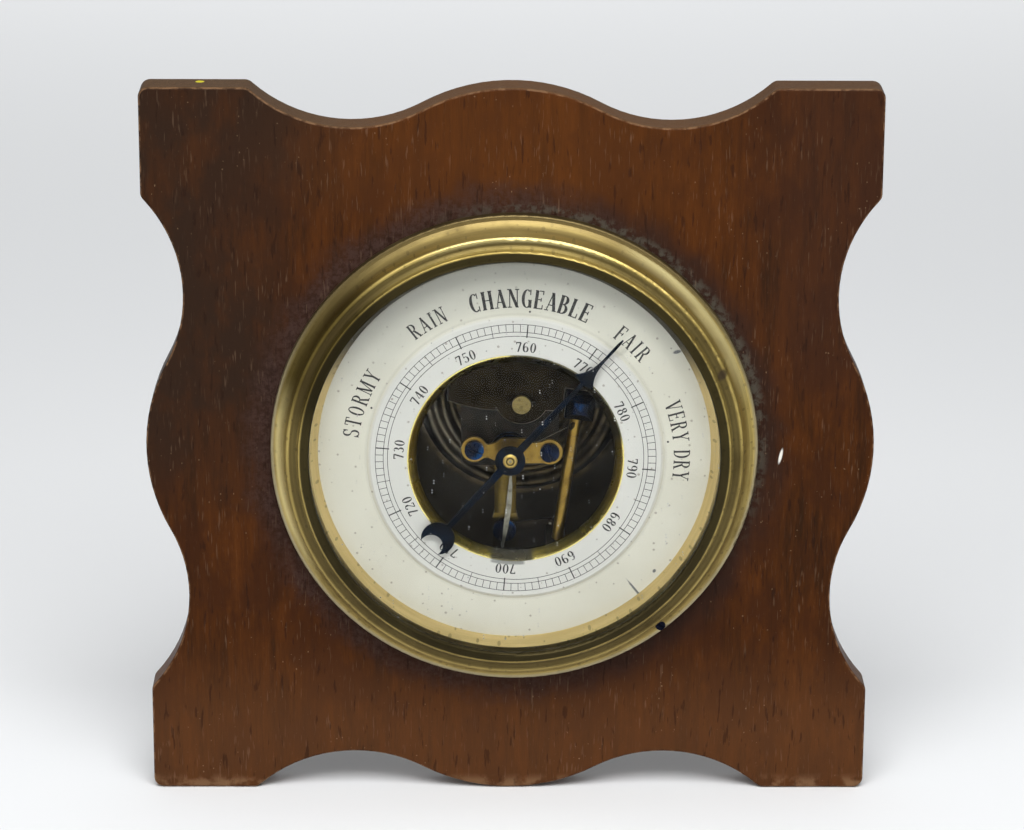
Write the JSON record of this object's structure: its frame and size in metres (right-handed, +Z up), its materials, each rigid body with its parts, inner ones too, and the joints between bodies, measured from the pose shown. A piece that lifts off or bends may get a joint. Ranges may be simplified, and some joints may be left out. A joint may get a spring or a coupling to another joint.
{
  "type": "ship aneroid barometer",
  "caption": "Round brass aneroid barometer with an open white dial, set in a square wooden board with wavy sides, on a folding wire stand.",
  "frame": {"origin": "on the table, under the middle of the whole object's bounding box", "axes": "+X to the right as one faces the dial, +Y from the dial towards the back, +Z up"},
  "size_m": [0.187, 0.0716, 0.189],
  "materials": {
    "mahogany": "worn dark red-brown varnish, semi-gloss",
    "aged_brass": "lacquered brass with a brown-green patina",
    "gilt_brass": "satin gold-coloured brass",
    "case_brass": "dull aged brass",
    "movement_brass": "grained movement brass",
    "lever_brass": "brown-stained brass of the main lever",
    "tarnished_brass": "dark tarnished brass deep in the case",
    "stand_brass": "handled brass wire",
    "screw_brass": "turned brass",
    "screw_steel": "turned steel",
    "blued_steel": "heat-blued steel",
    "bright_steel": "polished steel",
    "spring_steel": "dark tempered steel",
    "dark_casting": "blackened casting",
    "capsule_metal": "tarnished corrugated metal",
    "dial_white": "matt ivory-white dial coating",
    "glass": "clear flat glass"
  },
  "bodies": {
    "case": {"base_plate": "tarnished_brass", "bezel": "aged_brass", "bezel_lock_screw": "blued_steel", "board": "mahogany", "bridge_pillars": "movement_brass", "bridge_screws": "blued_steel", "capsule_back": "capsule_metal", "capsule_front": "capsule_metal", "capsule_stud": "tarnished_brass", "case_back_screws": "screw_steel", "case_drum": "case_brass", "case_flange_screws": "screw_brass", "dial": "dial_white", "dial_pillars": "tarnished_brass", "dial_sight_ring": "gilt_brass", "glass": "glass", "hairspring_stud": "movement_brass", "movement_bridge": "movement_brass", "reflector_ring": "gilt_brass", "rocker_block": "blued_steel", "rocker_foot_post": "tarnished_brass", "spring_bridge": "dark_casting", "spring_bridge_screws": "screw_steel", "spring_clamp": "dark_casting", "spring_clamp_screws": "blued_steel", "stand_lug_left": "stand_brass", "stand_lug_right": "stand_brass", "stand_lug_screws": "screw_brass"},
    "pointer_arbor": {"pointer_arbor": "bright_steel", "chain_drum": "movement_brass", "hairspring": "blued_steel", "pointer_bush": "movement_brass", "pointer": "blued_steel"},
    "rocker": {"rocker_shaft": "movement_brass", "rocker_chain_arm": "spring_steel", "rocker_link_arm": "spring_steel", "pointer_chain": "spring_steel"},
    "lever": {"main_spring": "spring_steel", "lever_collar": "case_brass", "main_lever": "lever_brass", "link_arm": "spring_steel", "connecting_link": "bright_steel", "regulating_screw": "blued_steel", "lever_blade": "bright_steel", "capsule_post": "case_brass", "knife_edge_pin": "spring_steel"},
    "adjuster": {"adjusting_screw": "screw_steel"},
    "stand": {"wire_stand": "stand_brass"}
  },
  "joints": [
    {"name": "pointer_turn", "type": "hinge", "parent": "case", "child": "pointer_arbor", "pos_m": [-0.0001, -0.02471, 0.0929], "axis": [0, 1, 0], "range_deg": [-230, 53], "deforming": ["hairspring"]},
    {"name": "rocker_turn", "type": "hinge", "parent": "case", "child": "rocker", "pos_m": [0.0123, -0.02091, 0.0686], "axis": [0.1359, 0, 0.9907], "range_deg": [-11.17, 48.5], "deforming": ["pointer_chain"]},
    {"name": "lever_swing", "type": "hinge", "parent": "case", "child": "lever", "pos_m": [0.0028, -0.02181, 0.1209], "axis": [1, 0, 0], "range_deg": [-2.24, 0.52], "deforming": ["connecting_link", "capsule_front"]},
    {"name": "adjuster_turn", "type": "hinge", "parent": "case", "child": "adjuster", "pos_m": [0.0028, -0.00341, 0.1059], "axis": [0, 1, 0], "range_deg": [-360, 360]},
    {"name": "stand_fold", "type": "hinge", "parent": "case", "child": "stand", "pos_m": [0, -0.00971, 0.08], "axis": [1, 0, 0], "range_deg": [0, 150]}
  ],
  "couplings": [
    {"joint": "rocker_turn", "follows": "pointer_turn", "ratio": -0.20671},
    {"joint": "lever_swing", "follows": "pointer_turn", "ratio": 0.009541}
  ]
}
